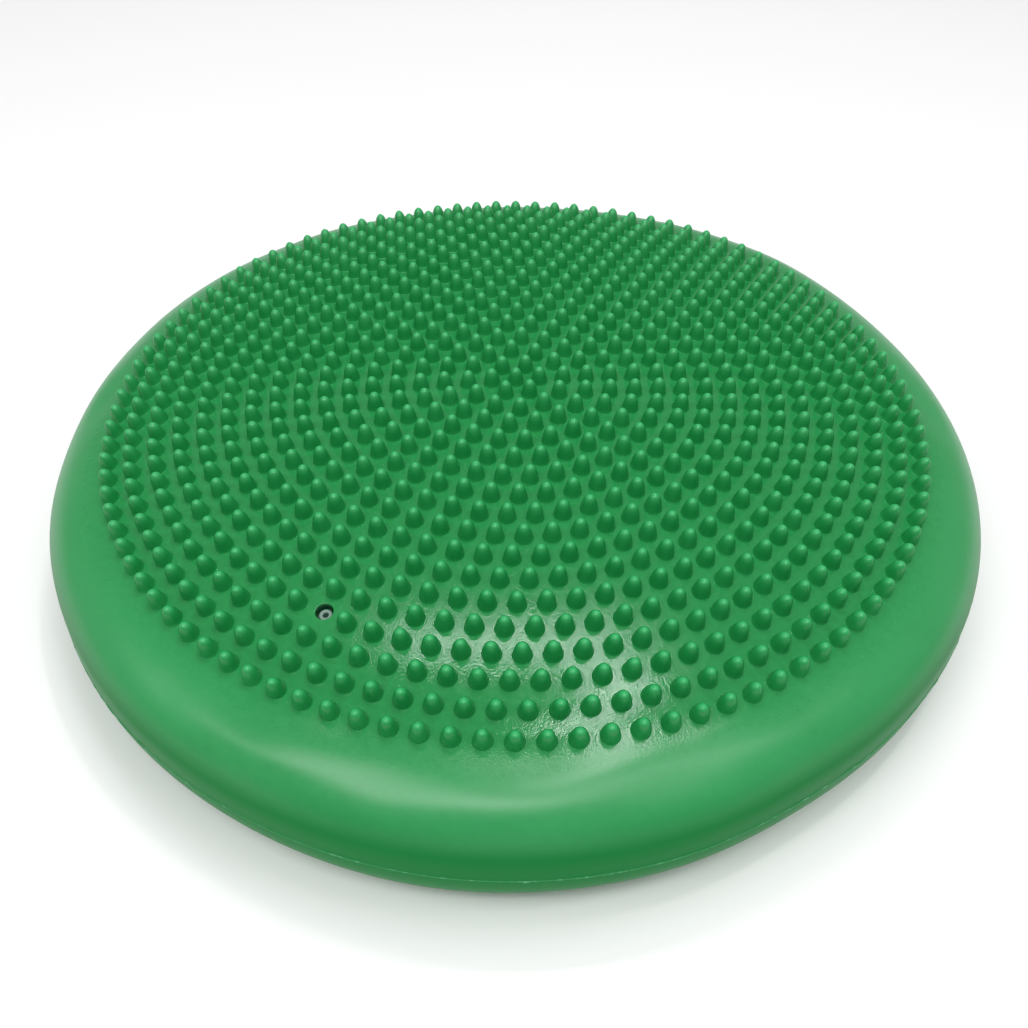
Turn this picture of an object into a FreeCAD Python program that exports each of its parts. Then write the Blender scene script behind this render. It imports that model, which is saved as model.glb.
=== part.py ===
"""Inflatable balance pad: an air-filled PVC disc, about 33 cm across, with rings of nubs on its top.

The hollow skin is one moulding. It is divided here into the zones that stay stiff (base and top)
and the zones that give (the two halves of the side wall, with the parting seam between them).
Units are millimetres. The pad stands on Z = 0, its axis is Z, and -Y is its front.
"""
import FreeCAD, Part
import math
import os

V = FreeCAD.Vector
UP = V(0, 0, 1)
ORIGIN = V(0, 0, 0)

# Whole pad
OUTER_RADIUS = 167.0        # at the widest point of the side wall, without the seam's flash
EQUATOR_HEIGHT = 29.0       # of that widest point above the floor
WALL = 3.0                  # thickness of the PVC skin
FLOOR_HEIGHT = 0.0

# Side wall: a superellipse in section
RIM_WIDTH = 39.8            # from the widest point in to where the wall runs level
RIM_RISE = 23.5             # from the widest point up to the shoulder
RIM_POWER = 2.45            # above the widest point
LOWER_POWER = 2.8           # below it, where the wall is fuller
SHOULDER_RADIUS = 150.0     # where the rim's section starts, outside the nubs

# Crown: the top skin falls away from the centre by this share of NUB_FIELD_RADIUS
NUB_FIELD_RADIUS = 141.5    # of the outermost ring of nubs
CROWN_HEIGHT = 65.3         # of the skin at the centre
CROWN_POWERS = ((2, 0.0432), (4, 0.0846), (6, -0.0929), (8, 0.0625))
CROWN_MARGIN = 2.0          # how far the crown's curve runs on past the outermost ring

# Nubs: 17 rings round one in the middle, six more in each ring
RING_COUNT = 17
NUBS_PER_RING_STEP = 6
FIRST_NUB_ANGLE = 5.7
NUB_HEIGHT = 6.6
NUB_BASE_RADIUS = 3.1
NUB_NECK_RADIUS = 1.85
NUB_TIP_RADIUS = 0.8        # of the flat left in the middle of the rounded tip
NUB_TIP_RISE = 1.2          # of the chamfer that rounds the tip
NUB_SINK = 0.03             # of its flat foot into the curved skin

# Parting seam, a little below the widest point
SEAM_HEIGHT = 24.5
SEAM_THICKNESS = 1.2
FLASH_PROUD = 0.6
FLASH_EDGE = 0.3

# Zones of the skin
BASE_TOP_HEIGHT = 9.0
TOP_START_HEIGHT = 45.0
ZONE_GAP = 0.3

# Needle valve, in the place of one nub of the fourteenth ring
VALVE_RADIUS = 115.3
VALVE_RING = 14
VALVE_NUB = 55
SKIN_HOLE_RADIUS = 2.7
SEAT_RADIUS = 10.0
SEAT_DEPTH = 14.0
PLUG_RADIUS = 5.0
PLUG_FLANGE_RADIUS = 7.5
PLUG_FLANGE_THICKNESS = 1.6
PLUG_NOSE_RADIUS = 2.0
PLUG_NOSE_DEPTH = 1.9       # the plug's face below the skin
PLUG_CLEARANCE = 0.3
NEEDLE_RADIUS = 0.85

RIM_CENTRE_RADIUS = OUTER_RADIUS - RIM_WIDTH


def crown(radius):
    """Height of the top skin over the nub field."""
    share = radius / NUB_FIELD_RADIUS
    return CROWN_HEIGHT - NUB_FIELD_RADIUS * sum(k * share ** power for power, k in CROWN_POWERS)


def crown_slope(radius):
    share = radius / NUB_FIELD_RADIUS
    return -sum(power * k * share ** (power - 1) for power, k in CROWN_POWERS)


def rim_power(rise):
    return RIM_POWER if rise > 0 else LOWER_POWER


def rim_point(turn, rise):
    """A point of the side wall's section: turn is 0 at the widest point and 90 degrees where it is level."""
    share = 2 / rim_power(rise)
    radius = RIM_CENTRE_RADIUS + RIM_WIDTH * max(math.cos(turn), 0.0) ** share
    return V(radius, 0, EQUATOR_HEIGHT + rise * math.sin(turn) ** share)


def rim_turn(height, rise):
    return math.asin(((height - EQUATOR_HEIGHT) / rise) ** (rim_power(rise) / 2))


def rim_arc(low, high, count):
    """Points up the side wall between two heights, both on the same side of the widest point."""
    rise = RIM_RISE if high > EQUATOR_HEIGHT else -EQUATOR_HEIGHT
    start, end = rim_turn(low, rise), rim_turn(high, rise)
    return [rim_point(start + (end - start) * i / count, rise) for i in range(count + 1)]


def inward(points):
    """The same outline one wall thickness inside; the outline runs outwards and up, or inwards and up."""
    inner = []
    for i, p in enumerate(points):
        along = points[min(i + 1, len(points) - 1)] - points[max(i - 1, 0)]
        along.normalize()
        inner.append(p + V(-along.z, 0, along.x) * WALL)
    return inner


def curve(points):
    spline = Part.BSplineCurve()
    spline.interpolate(points)
    return spline.toShape()


def turned(edges):
    """The solid that a closed section makes when it turns about the pad's axis."""
    return Part.Face(Part.Wire(edges)).revolve(ORIGIN, UP, 360)


def skin_zone(points, inner):
    return turned([curve(points), Part.makeLine(points[-1], inner[-1]),
                   curve(inner), Part.makeLine(inner[0], points[0])])


def base_skin():
    """The flat underside and the foot of the side wall, as one dish."""
    foot = rim_arc(FLOOR_HEIGHT, BASE_TOP_HEIGHT, 8)
    inner = inward(foot)
    inner[0] = foot[0] + V(0, 0, WALL)
    floor_centre = V(0, 0, FLOOR_HEIGHT)
    inner_centre = V(0, 0, WALL)
    return turned([Part.makeLine(floor_centre, foot[0]), curve(foot), Part.makeLine(foot[-1], inner[-1]),
                   curve(inner), Part.makeLine(inner[0], inner_centre),
                   Part.makeLine(inner_centre, floor_centre)])


def lower_points():
    """The section of the side wall from the base skin up to the parting seam."""
    return rim_arc(BASE_TOP_HEIGHT + ZONE_GAP, SEAM_HEIGHT - SEAM_THICKNESS / 2, 12)


def lower_sidewall():
    points = lower_points()
    return skin_zone(points, inward(points))


def upper_sidewall():
    below = rim_arc(SEAM_HEIGHT + SEAM_THICKNESS / 2 + ZONE_GAP, EQUATOR_HEIGHT, 3)
    points = below[:-1] + rim_arc(EQUATOR_HEIGHT, TOP_START_HEIGHT, 12)
    return skin_zone(points, inward(points))


def parting_seam():
    """The band where the two halves of the mould met, with its thin edge of flash; it stands on the
    lower side wall's upper edge."""
    points = lower_points()
    low, inner_low = points[-1], inward(points)[-1]
    high = V(low.x, 0, SEAM_HEIGHT + SEAM_THICKNESS / 2)
    edge = [V(low.x + FLASH_PROUD, 0, SEAM_HEIGHT - FLASH_EDGE / 2),
            V(low.x + FLASH_PROUD, 0, SEAM_HEIGHT + FLASH_EDGE / 2)]
    inside = [V(inner_low.x, 0, high.z), inner_low]
    return turned(Part.makePolygon([low] + edge + [high] + inside + [low]).Edges)


def crown_points():
    """The top skin's section from the axis out to the shoulder."""
    end = NUB_FIELD_RADIUS + CROWN_MARGIN
    count = 14
    return [V(end * i / count, 0, crown(end * i / count)) for i in range(count + 1)]


def shoulder_points():
    """The rim's section from the shoulder down to the top skin's lower edge."""
    share = ((SHOULDER_RADIUS - RIM_CENTRE_RADIUS) / RIM_WIDTH) ** (RIM_POWER / 2)
    start, end = math.acos(share), rim_turn(TOP_START_HEIGHT + ZONE_GAP, RIM_RISE)
    count = 6
    return [rim_point(start + (end - start) * i / count, RIM_RISE) for i in range(count + 1)]


def top_section():
    """Outer and inner outline of the top skin, from its lower edge up to the axis."""
    points = (crown_points() + shoulder_points())[::-1]
    inner = inward(points)
    inner[-1] = points[-1] - V(0, 0, WALL)
    return points, inner


def top_skin():
    points, inner = top_section()
    skin = skin_zone(points, inner)
    return skin.cut(at_valve(cylinder(SKIN_HOLE_RADIUS, -2 * WALL, WALL)))


def nub():
    """A tapered nub with a chamfered tip, standing on the origin."""
    neck_height = NUB_HEIGHT - NUB_TIP_RISE
    outline = [V(0, 0, -NUB_SINK), V(NUB_BASE_RADIUS, 0, -NUB_SINK), V(NUB_NECK_RADIUS, 0, neck_height),
               V(NUB_TIP_RADIUS, 0, NUB_HEIGHT), V(0, 0, NUB_HEIGHT), V(0, 0, -NUB_SINK)]
    return turned(Part.makePolygon(outline).Edges)


def stood_on_skin(shape, radius):
    """The shape moved out along +X to that radius and tilted square to the top skin there."""
    lean = -math.degrees(math.atan(crown_slope(radius)))
    placed = shape.copy()
    placed.rotate(ORIGIN, V(0, 1, 0), lean)
    placed.translate(V(radius, 0, crown(radius)))
    return placed


def round_axis(shape, angle):
    placed = shape.copy()
    placed.rotate(ORIGIN, UP, angle)
    return placed


def massage_nubs():
    middle = nub()
    middle.translate(V(0, 0, CROWN_HEIGHT))
    nubs = [middle]
    for ring in range(1, RING_COUNT + 1):
        first = stood_on_skin(nub(), NUB_FIELD_RADIUS * ring / RING_COUNT)
        count = NUBS_PER_RING_STEP * ring
        for i in range(count):
            if (ring, i) != (VALVE_RING, VALVE_NUB):
                nubs.append(round_axis(first, FIRST_NUB_ANGLE + 360 * i / count))
    return Part.makeCompound(nubs)


def cylinder(radius, low, high):
    return Part.makeCylinder(radius, high - low, V(0, 0, low))


def at_valve(shape):
    """The shape moved to the valve's place, with its Z = 0 on the skin's outer face."""
    angle = FIRST_NUB_ANGLE + 360 * VALVE_NUB / (NUBS_PER_RING_STEP * VALVE_RING)
    return round_axis(stood_on_skin(shape, VALVE_RADIUS), angle)


def valve_seat():
    """The thick boss moulded on the inside of the skin, which grips the plug."""
    boss = cylinder(SEAT_RADIUS, -SEAT_DEPTH, -WALL / 2)
    bored = boss.cut(cylinder(PLUG_RADIUS, -2 * SEAT_DEPTH, WALL))
    points, inner = top_section()
    return at_valve(bored).cut(skin_zone(points, inner)).Solids[0]


def valve_plug():
    """The rubber needle valve: a body in the seat, a flange under it and a nose in the skin's hole."""
    body = cylinder(PLUG_RADIUS, -SEAT_DEPTH, -WALL - PLUG_CLEARANCE)
    flange = cylinder(PLUG_FLANGE_RADIUS, -SEAT_DEPTH - PLUG_FLANGE_THICKNESS, -SEAT_DEPTH)
    nose = cylinder(PLUG_NOSE_RADIUS, -WALL - PLUG_CLEARANCE, -PLUG_NOSE_DEPTH)
    needle_way = cylinder(NEEDLE_RADIUS, -2 * SEAT_DEPTH, WALL)
    return at_valve(body.fuse([flange, nose]).removeSplitter().cut(needle_way))


NODES = {
    "base_skin": base_skin,
    "lower_sidewall": lower_sidewall,
    "parting_seam": parting_seam,
    "upper_sidewall": upper_sidewall,
    "top_skin": top_skin,
    "massage_nubs": massage_nubs,
    "valve_seat": valve_seat,
    "valve_plug": valve_plug,
}

os.makedirs("parts", exist_ok=True)
for name, make in NODES.items():
    shape = make()
    box = shape.BoundBox
    print(f"{name:16} {len(shape.Solids):4} solids  valid {shape.isValid()}  {shape.Volume / 1000:8.2f} cm3"
          f"  R {box.XMax:7.2f}  Z {box.ZMin:6.2f} to {box.ZMax:6.2f}")
    shape.exportStep(f"parts/{name}.step")
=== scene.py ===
"""Looks of an inflatable balance pad: a moulded PVC skin with rings of nubs and a needle valve.

The skin is made in three zones, which meet edge to edge so that it looks like one. Lengths are
in metres and -Y is the front.
"""
import math

import bpy
import numpy as np
from mathutils import Matrix, Vector

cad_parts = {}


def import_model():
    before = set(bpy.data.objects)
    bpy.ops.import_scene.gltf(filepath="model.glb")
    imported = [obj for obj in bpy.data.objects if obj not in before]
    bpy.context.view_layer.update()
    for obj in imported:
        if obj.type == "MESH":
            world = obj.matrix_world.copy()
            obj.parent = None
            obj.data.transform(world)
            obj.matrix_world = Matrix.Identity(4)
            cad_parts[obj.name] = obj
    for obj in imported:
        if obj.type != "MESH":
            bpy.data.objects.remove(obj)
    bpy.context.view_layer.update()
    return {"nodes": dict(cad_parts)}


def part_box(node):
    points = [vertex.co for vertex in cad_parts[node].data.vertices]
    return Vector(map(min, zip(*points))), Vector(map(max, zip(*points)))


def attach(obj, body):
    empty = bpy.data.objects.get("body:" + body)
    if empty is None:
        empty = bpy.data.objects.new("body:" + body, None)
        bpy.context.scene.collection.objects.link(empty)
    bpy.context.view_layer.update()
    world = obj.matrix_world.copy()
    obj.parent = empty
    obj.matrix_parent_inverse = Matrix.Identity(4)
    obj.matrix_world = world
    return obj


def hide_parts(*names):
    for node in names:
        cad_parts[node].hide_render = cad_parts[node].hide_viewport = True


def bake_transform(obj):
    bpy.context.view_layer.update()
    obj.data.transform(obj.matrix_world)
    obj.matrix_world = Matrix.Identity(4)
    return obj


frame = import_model()

MM = 0.001

# Driving sizes: three from the frame, then the height of the nubs and the thickness of the wall
RIM_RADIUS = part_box("upper_sidewall")[1].x
CROWN_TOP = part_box("top_skin")[1].z
NUB_TIP_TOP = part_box("massage_nubs")[1].z
NUB_HEIGHT = 6.2 * MM
WALL = 3.0 * MM

# Section of the side wall and the crown, as in the CAD
EQUATOR_Z = 29.0 * MM
RIM_WIDTH = 39.8 * MM
RIM_RISE = 23.5 * MM
RIM_POWER = 2.45
LOWER_POWER = 2.8
RIM_CENTRE = RIM_RADIUS - RIM_WIDTH
SHOULDER_RADIUS = 154.0 * MM
FIELD_RADIUS = 141.5 * MM
CROWN_EDGE = 139.0 * MM
# The crown falls away from its middle by these powers of the share of the field's radius
CROWN_POWERS = ((2, 0.0432), (4, 0.0846), (6, -0.0929), (8, 0.0625))

# Pairs of heights; the skin's zones meet at the second height of each pair
PRESS_BEND = (1.0 * MM, 11.0 * MM)
FRONT_BEND = (11.0 * MM, 30.0 * MM)

FOOT_HEIGHT = 8.0 * MM        # the dents fade out from this height down to the floor

SEGMENTS = 512                # vertices round each ring of the skin


def crown(radius):
    """Height of the crown's surface between the nubs."""
    share = radius / FIELD_RADIUS
    return CROWN_TOP - FIELD_RADIUS * sum(k * share ** power for power, k in CROWN_POWERS)


def crown_slope(radius):
    """Rise of the crown per unit of radius; it is negative, because the crown falls away outwards."""
    share = radius / FIELD_RADIUS
    return -sum(power * k * share ** (power - 1) for power, k in CROWN_POWERS)


# ---------------------------------------------------------------- the section

def rim_power(rise):
    """The superellipse's power: the side wall is fuller below its widest point than above it."""
    return RIM_POWER if rise > 0 else LOWER_POWER


def rim_turn(z, rise):
    """The superellipse's parameter at a height."""
    return math.asin(((z - EQUATOR_Z) / rise) ** (rim_power(rise) / 2))


def rim_rows(z_low, z_high, count):
    """(radius, z) rows up the side wall, from z_low towards z_high, with z_high left out."""
    rise = RIM_RISE if z_high > EQUATOR_Z else -EQUATOR_Z
    share = 2 / rim_power(rise)
    turns = np.linspace(rim_turn(z_low, rise), rim_turn(z_high, rise), count + 1)[:-1]
    return [(RIM_CENTRE + RIM_WIDTH * math.cos(t) ** share, EQUATOR_Z + rise * math.sin(t) ** share)
            for t in turns]


def valley_rows(count):
    """From the shoulder in to the crown's edge, as one smooth curve between the two slopes."""
    share = (SHOULDER_RADIUS - RIM_CENTRE) / RIM_WIDTH
    turn = math.acos(share ** (RIM_POWER / 2))
    z_out = EQUATOR_Z + RIM_RISE * math.sin(turn) ** (2 / RIM_POWER)
    steepness = share ** (RIM_POWER - 1) / (1 - share ** RIM_POWER) ** (1 - 1 / RIM_POWER)
    slope_out = -(RIM_RISE / RIM_WIDTH) * steepness
    z_in, slope_in = crown(CROWN_EDGE), crown_slope(CROWN_EDGE)
    span = CROWN_EDGE - SHOULDER_RADIUS
    rows = []
    for t in np.linspace(0, 1, count + 1)[:-1]:
        z = ((2 * t ** 3 - 3 * t ** 2 + 1) * z_out + (t ** 3 - 2 * t ** 2 + t) * span * slope_out
             + (3 * t ** 2 - 2 * t ** 3) * z_in + (t ** 3 - t ** 2) * span * slope_in)
        rows.append((SHOULDER_RADIUS + span * t, z))
    return rows, z_out


def section():
    """Rows (radius, z) of the outside, from the middle of the underside round the rim to the crown's
    centre, and the row numbers where the three zones meet."""
    valley, shoulder_z = valley_rows(14)
    rows = [(r, 0.0) for r in np.linspace(0, RIM_CENTRE, 21)[:-1]]
    rows += rim_rows(0.0, PRESS_BEND[1], 24)
    first_cut = len(rows)
    rows += rim_rows(PRESS_BEND[1], EQUATOR_Z, 20)
    rows += rim_rows(EQUATOR_Z, FRONT_BEND[1], 4)
    second_cut = len(rows)
    rows += rim_rows(FRONT_BEND[1], shoulder_z, 34)
    rows += valley
    rows += [(r, crown(r)) for r in np.linspace(CROWN_EDGE, 0, 80)]
    return np.array(rows), first_cut, second_cut


# ---------------------------------------------------------------- unevenness

# Shallow dents (minus) and swells (plus) that a blown-up skin has. Each has its angle, its distance
# up the section from the widest point, its reach in both, and its height, in degrees and mm.
DENTS = (
    (50, 8, 22, 34, 2.4),
    (130, 0, 18, 34, 0.6),
    (164, 0, 12, 34, -1.2),
    (183, 0, 13, 34, -2.0),
    (208, 0, 14, 34, -0.8),
    (262, -4, 18, 34, 1.2),
    (302, 0, 12, 34, -2.2),
    (319, 0, 11, 34, -1.2),
    (231, 22, 3, 6, -0.4),
    (244, 20, 5, 8, 0.7),
    (257, 21, 6, 7, -0.3),
    (270, 20, 8, 8, 1.0),
    (286, 21, 6, 7, -0.6),
    (300, 21, 7, 8, 0.6),
    (320, 22, 8, 8, -0.5),
    (296, 33, 5, 3, 0.35),
    (307, 34, 5, 3, 0.3),
    (176, 27, 5, 6, -0.9),
    (2, 27, 5, 6, -0.9),
    (60, 28, 16, 6, 0.4),
    (110, 28, 14, 6, -0.4),
)

# Fine waves round the shoulder: how many go round, their phase, and their height in mm
WAVES = ((9, 1.1, 0.2), (14, 4.0, 0.14), (23, 2.3, 0.08))
WAVES_PLACE, WAVES_REACH = 26, 9      # mm up the section from the widest point


def unevenness(angle, along):
    """How far the skin stands out from its even shape, at an angle in radians and a distance up the
    section from the widest point."""
    total = 0.0
    for centre, place, reach, length, height in DENTS:
        turn = (np.degrees(angle) - centre + 180) % 360 - 180
        total = total + height * MM * np.exp(-(turn / reach) ** 2 - ((along / MM - place) / length) ** 2)
    wave = sum(height * np.sin(count * angle + phase) for count, phase, height in WAVES)
    return total + wave * MM * np.exp(-((along / MM - WAVES_PLACE) / WAVES_REACH) ** 2)


def is_even(radius):
    """True in the middle of the crown and of the underside, where the skin has no dents."""
    return radius < 0.5 * RIM_RADIUS


def outside():
    """Points and normals of the whole outside as (row, segment, xyz)."""
    rows, first_cut, second_cut = section()
    radius, z = rows[:, 0], rows[:, 1]
    steps = np.hypot(np.diff(radius), np.diff(z))
    along = np.concatenate([[0], np.cumsum(steps)])
    widest = int(np.argmax(radius))
    along -= along[widest]
    tangent = np.stack([np.gradient(radius, along), np.gradient(z, along)], axis=1)
    tangent /= np.linalg.norm(tangent, axis=1)[:, None]
    angle = np.linspace(0, 2 * np.pi, SEGMENTS, endpoint=False)
    out = unevenness(angle[None, :], along[:, None])
    out[is_even(radius)] = 0
    foot = np.clip(z / FOOT_HEIGHT, 0, 1)
    out *= (foot * foot * (3 - 2 * foot))[:, None]
    r = radius[:, None] + tangent[:, 1][:, None] * out
    h = z[:, None] - tangent[:, 0][:, None] * out
    points = np.stack([r * np.cos(angle), r * np.sin(angle), np.broadcast_to(h, r.shape)], axis=2)
    up = np.gradient(points, axis=0)
    around = np.roll(points, -1, axis=1) - np.roll(points, 1, axis=1)
    normals = np.cross(around, up)
    normals[0], normals[-1] = (0, 0, -1), (0, 0, 1)
    normals /= np.maximum(np.linalg.norm(normals, axis=2), 1e-12)[:, :, None]
    return points, normals, rows, along, first_cut, second_cut


POINTS, NORMALS, ROWS, ROW_ALONG, FIRST_CUT, SECOND_CUT = outside()
ROW_RADIUS = ROWS[:, 0]
ON_AXIS = ROW_RADIUS < 1e-9   # the first row and the last are single points
TOP_ROWS = np.flatnonzero((ROW_RADIUS <= SHOULDER_RADIUS) & (np.arange(len(ROWS)) > SECOND_CUT))[::-1]


def on_skin(radius, angle):
    """The top skin's point and normal at a radius and an angle, with the unevenness."""
    def at(values):
        return float(np.interp(radius, ROW_RADIUS[TOP_ROWS], values[TOP_ROWS]))
    slope = at(np.gradient(ROWS[:, 1], ROW_ALONG)) / at(np.gradient(ROWS[:, 0], ROW_ALONG))
    normal = Vector((-slope * math.cos(angle), -slope * math.sin(angle), 1)).normalized()
    lift = 0.0 if is_even(radius) else float(unevenness(angle, at(ROW_ALONG)))
    even = Vector((radius * math.cos(angle), radius * math.sin(angle), at(ROWS[:, 1])))
    return even + normal * lift, normal


# ---------------------------------------------------------------- meshes

def new_object(name, vertices, faces, loop_normals=None, smooth=True):
    mesh = bpy.data.meshes.new(name)
    mesh.from_pydata([tuple(v) for v in vertices], [], faces)
    if smooth:
        mesh.shade_smooth()
    if loop_normals is not None:
        mesh.normals_split_custom_set(loop_normals)
    piece = bpy.data.objects.new(name, mesh)
    bpy.context.scene.collection.objects.link(piece)
    return piece


def bands(rings, sides, first=0, closed=False):
    """Quads between rings of vertices that follow one another, and back to the first ring if closed."""
    faces = []
    for i in range(rings if closed else rings - 1):
        low, high = first + i * sides, first + (i + 1) % rings * sides
        for j in range(sides):
            k = (j + 1) % sides
            faces.append((low + j, low + k, high + k, high + j))
    return faces


NO_NORMAL = (0.0, 0.0, 0.0)   # lets the face's own normal stand


class Shell:
    """Vertices, faces and corner normals of a closed zone of the skin."""

    def __init__(self):
        self.vertices, self.faces, self.normals = [], [], []

    def ring(self, points):
        """Adds vertices and gives their numbers."""
        start = len(self.vertices)
        self.vertices.extend(tuple(p) for p in points)
        return list(range(start, start + len(points)))

    def face(self, corners, normals=None):
        self.faces.append(corners)
        self.normals.extend(normals if normals is not None else [NO_NORMAL] * len(corners))

    def strip(self, low, high, low_normals=None, high_normals=None, skip=None):
        """Quads between two rings, or triangles where one is a single point. They look outwards when
        low is the ring further down the outside."""
        count = max(len(low), len(high))
        for j in range(count):
            k = (j + 1) % count
            if skip is not None and skip[j]:
                continue
            a, b = (low[j], low[k]) if len(low) > 1 else (low[0], None)
            c, d = (high[k], high[j]) if len(high) > 1 else (high[0], None)
            corners = [v for v in (a, b, c, d) if v is not None]
            if low_normals is None:
                self.face(corners)
                continue
            picks = [low_normals[j], low_normals[k] if b is not None else None,
                     high_normals[k] if len(high) > 1 else high_normals[0],
                     high_normals[j] if d is not None else None]
            self.face(corners, [tuple(n) for n in picks if n is not None])


def zone(name, first, last, inner_step, hole=None):
    """The skin between two rows of the outside, closed with an inner face one wall thickness in."""
    shell = Shell()
    rings = []
    for i in range(first, last + 1):
        rings.append(shell.ring(POINTS[i, :1] if ON_AXIS[i] else POINTS[i]))
    for i in range(first, last):
        skip = hole.covers(i) if hole is not None else None
        shell.strip(rings[i - first], rings[i + 1 - first], NORMALS[i], NORMALS[i + 1], skip)
    inner_rows = sorted(set(list(range(first, last, inner_step)) + [last]))
    inner = []
    for i in inner_rows:
        points = POINTS[i] - NORMALS[i] * WALL
        inner.append(shell.ring(points[:1] if ON_AXIS[i] else points))
    for low, high in zip(inner[1:], inner[:-1]):
        shell.strip(low, high)
    if len(rings[0]) > 1:
        shell.strip(inner[0], rings[0])
    if len(rings[-1]) > 1:
        shell.strip(rings[-1], inner[-1])
    if hole is not None:
        hole.fill(shell, rings, first)
    return new_object(name, shell.vertices, shell.faces, shell.normals)


# ---------------------------------------------------------------- nubs

RING_COUNT = 17
NUBS_PER_RING_STEP = 6        # each ring has this many more than the one inside it
FIRST_NUB_ANGLE = math.radians(5.7)
VALVE_RING, VALVE_NUB = 14, 55
VALVE_RADIUS = 115.3 * MM     # the valve stands almost where that nub of that ring would be
VALVE_ANGLE = FIRST_NUB_ANGLE + 2 * math.pi * VALVE_NUB / (NUBS_PER_RING_STEP * VALVE_RING)
INNER_RINGS = 12              # the rings in the first of the two groups of nubs
NUB_SIDES = 18
NUB_BASE = 2.93 * MM
NUB_TAPER = 0.32              # how much of the width the flank loses on the way up
NUB_DOME = 4                  # the larger, the flatter the tip
NUB_FILLET = 0.22 * MM
NUB_SINK = 0.25 * MM          # how far its foot reaches into the skin
NUB_SPREAD = 0.012            # how much the nubs differ in their lean and in their height
NUB_MOST_STRETCH = 0.02       # the most by which one may be taller, as a share of its height


def nub_profile():
    """(radius, height) from the foot's small fillet up a tapered flank to just under the domed tip."""
    profile = [(NUB_BASE + NUB_FILLET * 1.1, -NUB_SINK)]
    for t in (0.3, 0.75):
        profile.append((NUB_BASE + NUB_FILLET * (1 - math.sin(t * math.pi / 2)),
                        NUB_FILLET * (1 - math.cos(t * math.pi / 2))))
    for share in (0.04, 0.25, 0.46, 0.64, 0.77, 0.87, 0.94, 0.985):
        flank = 1 - NUB_TAPER * share
        profile.append((NUB_BASE * flank * (1 - share ** NUB_DOME) ** 0.5, NUB_HEIGHT * share))
    return profile


def nub_places(first_ring, last_ring):
    """(radius, angle) of each nub; the valve takes the place of one."""
    for ring in range(first_ring, last_ring + 1):
        count = max(1, NUBS_PER_RING_STEP * ring)
        for i in range(count):
            if (ring, i) != (VALVE_RING, VALVE_NUB):
                yield FIELD_RADIUS * ring / RING_COUNT, FIRST_NUB_ANGLE + 2 * math.pi * i / count


def nubs(name, first_ring, last_ring, chance):
    """The nubs of some rings as one mesh, each standing square to the skin but for a slight lean."""
    profile = nub_profile()
    turns = np.linspace(0, 2 * np.pi, NUB_SIDES, endpoint=False)
    local = [(r * math.cos(t), r * math.sin(t), h) for r, h in profile for t in turns]
    local = np.array([(0, 0, -NUB_SINK)] + local + [(0, 0, NUB_HEIGHT)])
    faces = [(0, 1 + (j + 1) % NUB_SIDES, 1 + j) for j in range(NUB_SIDES)]
    faces += bands(len(profile), NUB_SIDES, first=1)
    last, tip = 1 + (len(profile) - 1) * NUB_SIDES, len(local) - 1
    faces += [(last + j, last + (j + 1) % NUB_SIDES, tip) for j in range(NUB_SIDES)]
    copies = []
    for radius, angle in nub_places(first_ring, last_ring):
        foot, normal = on_skin(radius, angle)
        lean = Vector((chance.normal(0, NUB_SPREAD), chance.normal(0, NUB_SPREAD), 0))
        axis = (normal + lean).normalized()
        side = axis.cross(Vector((math.sin(angle), -math.cos(angle), 0))).normalized()
        turn = np.array(Matrix((side, axis.cross(side), axis)).transposed())
        stretch = np.array((1.0, 1.0, 1.0 + min(chance.normal(0, NUB_SPREAD), NUB_MOST_STRETCH)))
        copies.append((local * stretch) @ turn.T + np.array(foot))
    starts = range(0, len(copies) * len(local), len(local))
    all_faces = [tuple(v + start for v in face) for start in starts for face in faces]
    return new_object(name, np.concatenate(copies), all_faces)


# ---------------------------------------------------------------- valve

HOLE_RADIUS = 2.7 * MM
HOLE_LIP = 0.35 * MM
HOLE_SIDES = 48
HOLE_PATCH = 5.2 * MM         # the grid is opened this far round the hole and filled again

VALVE_CENTRE, VALVE_NORMAL = on_skin(VALVE_RADIUS, VALVE_ANGLE)


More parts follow.
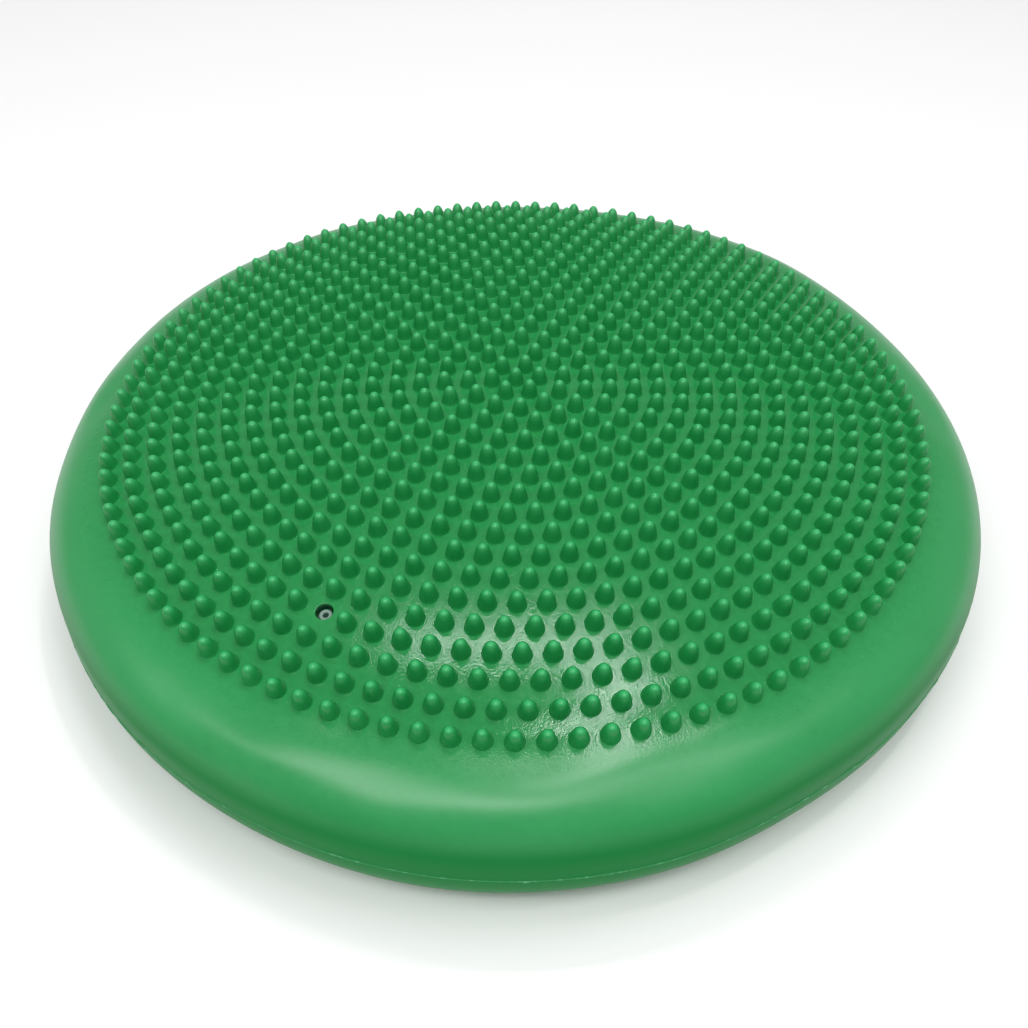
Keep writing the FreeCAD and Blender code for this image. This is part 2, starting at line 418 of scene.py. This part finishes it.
class Hole:
    """The round hole in the crown over the valve, with a softened lip."""

    def __init__(self):
        self.centre, self.normal = VALVE_CENTRE, VALVE_NORMAL
        out = Vector((math.cos(VALVE_ANGLE), math.sin(VALVE_ANGLE), 0))
        self.side = self.normal.cross(out).normalized()
        self.out = self.side.cross(self.normal)
        self.open = []

    def covers(self, row):
        """Which quads of this row lie in the patch round the hole."""
        if ROW_RADIUS[row + 1] < VALVE_RADIUS - 2 * HOLE_PATCH or row < SECOND_CUT:
            return None
        middle = (POINTS[row] + POINTS[row + 1]) / 2
        middle = (middle + np.roll(middle, -1, axis=0)) / 2
        covered = np.linalg.norm(middle - np.array(self.centre), axis=1) < HOLE_PATCH
        self.open += [(row, j) for j in np.flatnonzero(covered)]
        return covered

    def ring_points(self, radius, depth):
        """A ring round the hole's axis, so far below the skin."""
        turns = np.linspace(0, 2 * np.pi, HOLE_SIDES, endpoint=False)
        points = []
        for t in turns:
            flat = self.centre + self.out * radius * math.cos(t) + self.side * radius * math.sin(t)
            skin, normal = on_skin(math.hypot(flat.x, flat.y), math.atan2(flat.y, flat.x))
            points.append(skin - normal * depth)
        return points

    def border(self, rings, first):
        """The patch's edge as a loop of vertices, in order."""
        opened = set(self.open)
        edges = {}
        for i, j in opened:
            k = (j + 1) % SEGMENTS
            a, b = rings[i - first], rings[i + 1 - first]
            for start, end, beyond in ((a[j], a[k], (i - 1, j)), (a[k], b[k], (i, k)),
                                       (b[k], b[j], (i + 1, j)), (b[j], a[j], (i, (j - 1) % SEGMENTS))):
                if beyond not in opened:
                    edges[start] = end
        loop = [next(iter(edges))]
        while edges[loop[-1]] != loop[0]:
            loop.append(edges[loop[-1]])
        return loop

    def fill(self, shell, rings, first):
        """Closes the patch up to the hole, then adds the lip and the hole's wall."""
        loop = self.border(rings, first)
        angles = []
        for v in loop:
            offset = Vector(shell.vertices[v]) - self.centre
            angles.append(math.atan2(offset.dot(self.side), offset.dot(self.out)) % (2 * math.pi))
        normal = tuple(self.normal)
        edge = shell.ring(self.ring_points(HOLE_RADIUS + HOLE_LIP, 0.0))
        edge_angles = [2 * math.pi * j / HOLE_SIDES for j in range(HOLE_SIDES)]
        self.knit(shell, loop, angles, edge, edge_angles, normal)
        previous = edge
        for t in (0.35, 0.7, 1.0):
            turn = t * math.pi / 2
            ring = shell.ring(self.ring_points(HOLE_RADIUS + HOLE_LIP * (1 - math.sin(turn)),
                                               HOLE_LIP * (1 - math.cos(turn))))
            shell.strip(previous, ring)
            previous = ring
        shell.strip(previous, shell.ring(self.ring_points(HOLE_RADIUS, WALL)))

    @staticmethod
    def knit(shell, loop, angles, edge, edge_angles, normal):
        """Triangles between the patch's border and the hole's edge, walking round both by angle."""
        step = 1 if sum(((b - a + math.pi) % (2 * math.pi)) - math.pi
                        for a, b in zip(angles, angles[1:] + angles[:1])) > 0 else -1
        loop, angles = loop[::step], angles[::step]
        start = min(range(len(loop)), key=lambda n: angles[n])
        loop, angles = loop[start:] + loop[:start], angles[start:] + angles[:start]
        i = j = 0
        while i < len(loop) or j < len(edge):
            next_outer = angles[i + 1] if i + 1 < len(loop) else angles[0] + 2 * math.pi
            next_inner = edge_angles[j + 1] if j + 1 < len(edge) else 2 * math.pi
            a, b = loop[i % len(loop)], edge[j % len(edge)]
            if j >= len(edge) or (i < len(loop) and next_outer <= next_inner):
                i += 1
                shell.face([a, loop[i % len(loop)], b], [normal] * 3)
            else:
                j += 1
                shell.face([a, edge[j % len(edge)], b], [normal] * 3)


def lathe(name, profile, sides, centre, normal):
    """A turned piece round an axis: profile is its section, a closed loop of (radius, height)."""
    turn = Vector((0, 0, 1)).rotation_difference(normal).to_matrix()
    turns = [2 * math.pi * j / sides for j in range(sides)]
    vertices = [centre + turn @ Vector((r * math.cos(t), r * math.sin(t), h))
                for r, h in profile for t in turns]
    return new_object(name, vertices, bands(len(profile), sides, closed=True))


def valve_plug():
    """The rubber plug: flange, body, and a rounded nose with a funnel down to the closed needle way."""
    # Radii, and then heights from the crown's surface
    slit, needle, nose, body, flange = 0.06 * MM, 0.85 * MM, 2.0 * MM, 4.98 * MM, 7.5 * MM
    face, shelf, seat, foot = -1.9 * MM, -3.3 * MM, -14.0 * MM, -15.6 * MM
    soft = 0.35 * MM
    profile = [(slit, foot), (flange - soft, foot), (flange, foot + soft), (flange, seat - soft),
               (flange - soft, seat), (body, seat), (body, shelf - soft), (body - soft, shelf),
               (nose, shelf),
               (nose, face - soft), (nose - 0.3 * soft, face - 0.3 * soft), (nose - soft, face),
               (needle + 1.1 * soft, face - 0.1 * soft), (needle + 0.3 * soft, face - 0.5 * soft),
               (needle, face - 1.6 * soft), (needle, face - 0.9 * MM), (slit, face - 0.95 * MM)]
    return lathe("valve_plug_rubber", profile, 48, VALVE_CENTRE, VALVE_NORMAL)


# ---------------------------------------------------------------- parting seam

SEAM_Z = 24.5 * MM
SEAM_STEPS = 1440
SEAM_SINK = 0.1 * MM          # how far its middle line lies below the skin
SEAM_HALF = 0.22 * MM         # half its thickness
NIB_ANGLE, NIB_REACH = 271.5, 0.35    # degrees: one place in front where the flash stands further out


def seam_flash(chance):
    """The thin ragged edge left where the mould's halves met, closed, a little sunk into the skin."""
    angle = np.linspace(0, 2 * np.pi, SEAM_STEPS, endpoint=False)
    thrice = np.tile(chance.random(SEAM_STEPS), 3)
    ragged = np.convolve(thrice, np.ones(5) / 5, "same")[SEAM_STEPS:2 * SEAM_STEPS]
    torn = np.clip((ragged - 0.52) * 6, 0, 1)
    nib = np.exp(-((np.degrees(angle) - NIB_ANGLE) / NIB_REACH) ** 2)
    edge = (0.2 + 0.14 * torn) * MM + 0.3 * MM * nib
    root, foot = -0.5 * MM, 0.02 * MM
    z = SEAM_Z + 0.35 * MM * np.sin(3 * angle + 0.6) + 0.2 * MM * np.sin(7 * angle + 2.0)
    radius = RIM_RADIUS - SEAM_SINK + unevenness(angle, z - EQUATOR_Z)
    rings = []
    for out, rise in ((root, -2.2), (foot, -1), (edge, -0.2), (edge, 0.2), (foot, 1), (root, 2.2)):
        r = radius + out
        rings.append(np.stack([r * np.cos(angle), r * np.sin(angle), z + rise * SEAM_HALF], axis=1))
    faces = bands(len(rings), SEAM_STEPS, closed=True)
    return new_object("parting_flash", np.concatenate(rings), faces)


# ---------------------------------------------------------------- materials

class Nodes:
    """A node tree with short ways to add and link nodes."""

    def __init__(self, name):
        self.material = bpy.data.materials.new(name)
        self.material.use_nodes = True
        self.tree = self.material.node_tree
        self.shader = self.tree.nodes["Principled BSDF"]
        self.place = self.add("ShaderNodeTexCoord").outputs["Object"]

    def add(self, kind, **settings):
        node = self.tree.nodes.new(kind)
        for key, value in settings.items():
            setattr(node, key, value)
        return node

    def link(self, output, socket):
        self.tree.links.new(output, socket)

    def noise(self, scale, detail=4.0, roughness=0.5):
        node = self.add("ShaderNodeTexNoise")
        node.inputs["Scale"].default_value = scale
        node.inputs["Detail"].default_value = detail
        node.inputs["Roughness"].default_value = roughness
        self.link(self.place, node.inputs["Vector"])
        return node.outputs["Fac"]

    def range(self, value, low, high, to_low, to_high, kind="LINEAR"):
        node = self.add("ShaderNodeMapRange", interpolation_type=kind)
        self.link(value, node.inputs["Value"])
        for key, number in (("From Min", low), ("From Max", high), ("To Min", to_low), ("To Max", to_high)):
            node.inputs[key].default_value = number
        return node.outputs["Result"]

    def mix(self, factor, first, second):
        node = self.add("ShaderNodeMix", data_type="RGBA")
        self.link(factor, node.inputs["Factor"])
        for key, value in (("A", first), ("B", second)):
            socket = next(s for s in node.inputs if s.name == key and s.type == "RGBA")
            if isinstance(value, tuple):
                socket.default_value = (*value, 1.0)
            else:
                self.link(value, socket)
        return next(s for s in node.outputs if s.type == "RGBA")

    def math(self, operation, first, second):
        node = self.add("ShaderNodeMath", operation=operation)
        for socket, value in zip(node.inputs, (first, second)):
            if isinstance(value, float):
                socket.default_value = value
            else:
                self.link(value, socket)
        return node.outputs["Value"]

    def bump(self, height, distance, strength, before=None):
        node = self.add("ShaderNodeBump")
        node.inputs["Distance"].default_value = distance
        node.inputs["Strength"].default_value = strength
        self.link(height, node.inputs["Height"])
        if before is not None:
            self.link(before, node.inputs["Normal"])
        return node.outputs["Normal"]


def radius_of(n):
    """Distance from the pad's axis, as a shader value."""
    flat = n.add("ShaderNodeVectorMath", operation="MULTIPLY")
    n.link(n.place, flat.inputs[0])
    flat.inputs[1].default_value = (1.0, 1.0, 0.0)
    length = n.add("ShaderNodeVectorMath", operation="LENGTH")
    n.link(flat.outputs["Vector"], length.inputs[0])
    return length.outputs["Value"]


def height_of(n):
    """Height above the floor, as a shader value."""
    parts = n.add("ShaderNodeSeparateXYZ")
    n.link(n.place, parts.inputs[0])
    return parts.outputs["Z"]


def near(n, point, inner, outer):
    """One within the inner distance of a point, falling to nothing at the outer."""
    apart = n.add("ShaderNodeVectorMath", operation="DISTANCE")
    n.link(n.place, apart.inputs[0])
    apart.inputs[1].default_value = point
    return n.range(apart.outputs["Value"], inner, outer, 1.0, 0.0, "SMOOTHSTEP")


def facing_up(n):
    """One where the surface faces straight up, and nothing where it is upright."""
    split = n.add("ShaderNodeSeparateXYZ")
    n.link(n.add("ShaderNodeNewGeometry").outputs["Normal"], split.inputs["Vector"])
    return split.outputs["Z"]


def skin_pvc():
    """Satin green PVC; between the nubs it is darker with painted shade, glossier and finely crinkled."""
    n = Nodes("green_pvc_skin")
    # Large and fine mottling, and masks for the field of nubs and for low down on the side wall; under both
    # the colour is darkened as painted shade
    cloud = n.range(n.noise(14.0, 3.0), 0.35, 0.65, 0.0, 1.0)
    fine = n.range(n.noise(420.0, 5.0, 0.6), 0.3, 0.7, 0.0, 1.0)
    inside = n.range(radius_of(n), FIELD_RADIUS - 3 * MM, FIELD_RADIUS + 15 * MM, 1.0, 0.0, "SMOOTHSTEP")
    side = n.range(height_of(n), 34 * MM, 45 * MM, 1.0, 0.0, "SMOOTHSTEP")

    tone = n.mix(cloud, (0.014, 0.260, 0.066), (0.021, 0.292, 0.081))
    tone = n.mix(n.math("MULTIPLY", fine, 0.2), tone, (0.040, 0.36, 0.115))
    # Painted shade: the colour is darker low down on the side wall
    tone = n.mix(side, tone, (0.009, 0.200, 0.043))
    # Painted shade between the nubs: the skin in the field of nubs is coloured darker
    field_shade_tone = n.mix(fine, (0.012, 0.230, 0.055), (0.018, 0.265, 0.069))
    tone = n.mix(inside, tone, field_shade_tone)
    # Painted shade: the skin turns almost black as it goes down into the valve hole
    hole_shade = near(n, VALVE_CENTRE - VALVE_NORMAL * 2.0 * MM, HOLE_RADIUS + 0.1 * MM,
                  HOLE_RADIUS + 0.55 * MM)
    n.link(n.mix(hole_shade, tone, (0.003, 0.075, 0.022)), n.shader.inputs["Base Color"])

    # A fine crinkled grain, strong between the nubs and faint elsewhere, over a slow ripple
    grain = n.noise(1700.0, 2.0, 0.6)
    pebble = n.add("ShaderNodeTexVoronoi", feature="SMOOTH_F1")
    pebble.inputs["Scale"].default_value = 1350.0
    n.link(n.place, pebble.inputs["Vector"])
    height = n.math("ADD", grain, n.math("MULTIPLY", pebble.outputs["Distance"], 0.8))
    height = n.math("MULTIPLY", height, n.math("ADD", n.math("MULTIPLY", inside, 0.85), 0.15))
    ripple = n.bump(n.noise(55.0, 1.0), 0.0005, 0.25)
    n.link(n.bump(height, 0.000052, 0.75, ripple), n.shader.inputs["Normal"])

    # Smoother between the nubs; low down on the side wall it hardly reflects
    rough = n.range(n.math("ADD", cloud, fine), 0.2, 1.8, 0.31, 0.37)
    n.link(n.math("SUBTRACT", rough, n.math("MULTIPLY", inside, 0.21)), n.shader.inputs["Roughness"])
    gloss = n.math("SUBTRACT", 0.62, n.math("MULTIPLY", inside, 0.17))
    n.link(n.math("SUBTRACT", gloss, n.math("MULTIPLY", side, 0.58)), n.shader.inputs["Specular IOR Level"])
    return n.material


def nub_pvc():
    """The same PVC on the nubs, with painted light making their upward-facing tips paler."""
    n = Nodes("green_pvc_nubs")
    cloud = n.range(n.noise(160.0, 3.0), 0.35, 0.65, 0.0, 1.0)
    # Painted light: where the surface faces up, the nub is paler, as if lit from above
    tip = n.range(facing_up(n), 0.4, 0.95, 0.0, 1.0, "SMOOTHSTEP")
    flank = n.mix(cloud, (0.010, 0.245, 0.056), (0.015, 0.275, 0.068))
    tone = n.mix(tip, flank, (0.030, 0.400, 0.120))
    n.link(tone, n.shader.inputs["Base Color"])
    n.link(n.bump(n.noise(1800.0, 3.0), 0.00005, 0.5), n.shader.inputs["Normal"])
    n.link(n.range(cloud, 0.0, 1.0, 0.30, 0.38), n.shader.inputs["Roughness"])
    n.shader.inputs["Specular IOR Level"].default_value = 0.45
    return n.material


def flash_pvc():
    """Thin torn edge: paler where it is stretched."""
    n = Nodes("green_pvc_flash")
    torn = n.range(n.noise(500.0, 2.0), 0.55, 0.72, 0.0, 1.0)
    n.link(n.mix(torn, (0.022, 0.26, 0.075), (0.13, 0.44, 0.22)), n.shader.inputs["Base Color"])
    n.link(n.range(torn, 0.0, 1.0, 0.45, 0.3), n.shader.inputs["Roughness"])
    return n.material


def valve_rubber():
    """Pale rubber, with painted shade darkening it down the needle way."""
    n = Nodes("pale_valve_rubber")
    cloud = n.noise(700.0, 4.0)
    pale = n.mix(cloud, (0.16, 0.26, 0.21), (0.24, 0.34, 0.29))
    # Painted shade: the rubber is coloured dark down the needle way, where little light reaches
    needle_way_shade = near(n, VALVE_CENTRE - VALVE_NORMAL * 2.6 * MM, 0.8 * MM, 0.98 * MM)
    n.link(n.mix(needle_way_shade, pale, (0.012, 0.045, 0.028)), n.shader.inputs["Base Color"])
    n.link(n.bump(n.noise(2500.0, 3.0), 0.00004, 0.5), n.shader.inputs["Normal"])
    n.link(n.range(cloud, 0.3, 0.7, 0.4, 0.55), n.shader.inputs["Roughness"])
    return n.material


def floor_material():
    n = Nodes("pale_floor")
    n.link(n.mix(n.noise(3.0), (0.93, 0.93, 0.93), (0.95, 0.95, 0.95)), n.shader.inputs["Base Color"])
    n.shader.inputs["Roughness"].default_value = 0.9
    return n.material


# ---------------------------------------------------------------- assembly

chance = np.random.default_rng(17)
skin = skin_pvc()
hole = Hole()

base_zone = zone("base_skin_shell", 0, FIRST_CUT, 6)
side_zone = zone("sidewall_shell", FIRST_CUT, SECOND_CUT, 4)
top_zone = zone("top_skin_shell", SECOND_CUT, len(POINTS) - 1, 6, hole)
inner_nubs = nubs("nubs_inner_rings", 0, INNER_RINGS, chance)
outer_nubs = nubs("nubs_outer_rings", INNER_RINGS + 1, RING_COUNT, chance)
plug = valve_plug()
flash = seam_flash(chance)

for piece, material, slot in ((base_zone, skin, "green_pvc"), (side_zone, skin, "green_pvc"),
                              (top_zone, skin, "green_pvc"), (flash, flash_pvc(), "green_pvc"),
                              (plug, valve_rubber(), "valve_rubber")):
    piece.data.materials.append(material)
nub_material = nub_pvc()
for piece in (inner_nubs, outer_nubs):
    piece.data.materials.append(nub_material)
    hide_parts("massage_nubs")
    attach(piece, "top")

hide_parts("base_skin")
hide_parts("lower_sidewall")
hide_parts("top_skin", "upper_sidewall")
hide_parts("parting_seam")
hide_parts("valve_plug")
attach(plug, "top")


def bend(piece):
    """Bakes the piece's placement into its mesh."""
    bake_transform(piece)


bend(base_zone)
bend(side_zone)
bend(flash)
bend(top_zone)

seat = frame["nodes"]["valve_seat"]      # the boss round the plug stays as it is in the CAD
seat.data.materials.clear()
seat.data.materials.append(skin)


# ---------------------------------------------------------------- floor, light and camera

# Name, place, point aimed at, width across the aim and depth along it, and power in watts
LIGHTS = (
    ("front_soft", (-0.4, -0.95, 2.0), (0, 0, 0), 1.6, 0.9, 13.5),
    ("strip_front", (-0.2, -0.78, 1.5), (-0.2, 0, 0.05), 2.2, 0.2, 6.2),
    ("strip_left", (-1.75, -0.42, 1.5), (-1.02, 0.55, 0.05), 1.15, 0.2, 3.2),
    ("strip_right", (0.85, -0.40, 1.5), (0.72, 0.17, 0.05), 1.0, 0.22, 2.9),
    ("tube_back", (-0.03, 0.43, 1.5), (0, 0, 0.05), 0.62, 0.055, 3.3),
    ("tube_right", (0.33, 0.17, 1.5), (0, 0, 0.05), 0.40, 0.06, 2.5),
    ("tube_front", (0.225, -0.115, 1.5), (-0.07, 0.18, 0.05), 0.30, 0.06, 1.8),
)
SKY_STRENGTH = 0.40


def floor():
    reach, below = 3.0, 0.1 * MM
    corners = [(-reach, -reach, 0), (reach, -reach, 0), (reach, reach, 0), (-reach, reach, 0)]
    plane = new_object("floor", corners, [(0, 1, 2, 3)], smooth=False)
    plane.location.z = -below
    plane.data.materials.append(floor_material())


def area_light(name, place, aim, width, depth, power):
    lamp = bpy.data.lights.new(name, "AREA")
    lamp.shape, lamp.size, lamp.size_y, lamp.energy = "RECTANGLE", width, depth, power
    light = bpy.data.objects.new(name, lamp)
    light.location = place
    light.rotation_euler = (Vector(aim) - Vector(place)).to_track_quat("-Z", "Y").to_euler()
    bpy.context.scene.collection.objects.link(light)


def world(strength):
    sky = bpy.data.worlds.new("studio")
    bpy.context.scene.world = sky
    sky.use_nodes = True
    background = sky.node_tree.nodes["Background"]
    background.inputs["Color"].default_value = (1.0, 1.0, 1.0, 1.0)
    background.inputs["Strength"].default_value = strength


def camera():
    """Looks down at the pad from the front, its aim a little in front of the middle nub."""
    distance, elevation, tilt, roll = 0.3941, math.radians(36.64), math.radians(7.475), math.radians(0.709)
    data = bpy.data.cameras.new("camera")
    data.lens, data.sensor_width = 39.235, 36.0
    data.clip_start = 0.01
    view = bpy.data.objects.new("camera", data)
    view.location = (0, -distance * math.cos(elevation), NUB_TIP_TOP + distance * math.sin(elevation))
    turn = Matrix.Rotation(math.pi / 2 - elevation - tilt, 4, "X") @ Matrix.Rotation(roll, 4, "Z")
    view.rotation_euler = turn.to_euler()
    bpy.context.scene.collection.objects.link(view)
    bpy.context.scene.camera = view


floor()
world(SKY_STRENGTH)
for row in LIGHTS:
    area_light(*row)
camera()
bpy.context.scene.view_settings.view_transform = "Standard"
